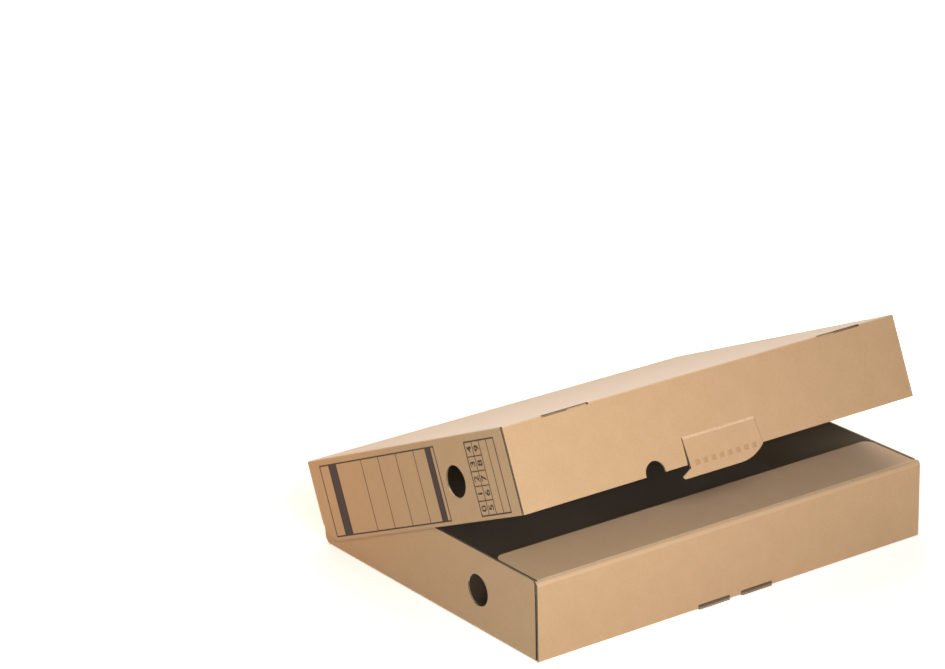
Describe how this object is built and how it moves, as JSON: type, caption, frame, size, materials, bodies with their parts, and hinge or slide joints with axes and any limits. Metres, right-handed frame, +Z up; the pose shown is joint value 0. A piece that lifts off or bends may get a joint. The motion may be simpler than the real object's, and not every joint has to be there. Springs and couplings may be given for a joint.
{
  "type": "archive box",
  "caption": "Corrugated archive box lying open: a full-depth lid hinged on a creased back wall, with a hooked closing tongue, over a tray with a retaining flap.",
  "frame": {"origin": "middle of the closed box's outline, on the surface that the tray's bottom panel rests on", "axes": "+X along the front wall, with the labelled end at -X; +Y from the front wall to the back wall; +Z up"},
  "size_m": [0.43, 0.3433, 0.1982],
  "materials": {
    "kraft_board": "matte"
  },
  "bodies": {
    "tray": {"bottom_panel": "kraft_board", "tray_front_wall": "kraft_board", "tray_front_roll": "kraft_board", "tray_left_end_wall": "kraft_board", "tray_right_end_wall": "kraft_board", "tray_left_corner_flap": "kraft_board", "tray_right_corner_flap": "kraft_board"},
    "retaining_flap": {"retaining_flap": "kraft_board"},
    "back_wall": {"back_wall": "kraft_board"},
    "lid": {"lid_top_panel": "kraft_board", "lid_front_wall": "kraft_board", "lid_left_end_wall": "kraft_board", "lid_right_end_wall": "kraft_board", "lid_left_corner_flap": "kraft_board", "lid_right_corner_flap": "kraft_board"},
    "closing_tongue": {"closing_tongue": "kraft_board"},
    "tongue_tip": {"tongue_tip": "kraft_board"}
  },
  "joints": [
    {"name": "back_wall_crease", "type": "hinge", "parent": "tray", "child": "back_wall", "pos_m": [0, 0.1625, 0], "axis": [-1, 0, 0], "range_deg": [-17, 73]},
    {"name": "lid_crease", "type": "hinge", "parent": "back_wall", "child": "lid", "pos_m": [0, 0.18443, 0.07172], "axis": [-1, 0, 0], "range_deg": [-6, 84]},
    {"name": "retaining_flap_crease", "type": "hinge", "parent": "tray", "child": "retaining_flap", "pos_m": [0, -0.1536, 0.071], "axis": [-1, 0, 0], "range_deg": [0, 78]},
    {"name": "tongue_crease", "type": "hinge", "parent": "lid", "child": "closing_tongue", "pos_m": [0, -0.13505, 0.15084], "axis": [-1, 0, 0], "range_deg": [0, 75]},
    {"name": "tongue_tip_crease", "type": "hinge", "parent": "closing_tongue", "child": "tongue_tip", "pos_m": [0, -0.14257, 0.12905], "axis": [1, 0, 0], "range_deg": [0, 70]}
  ]
}
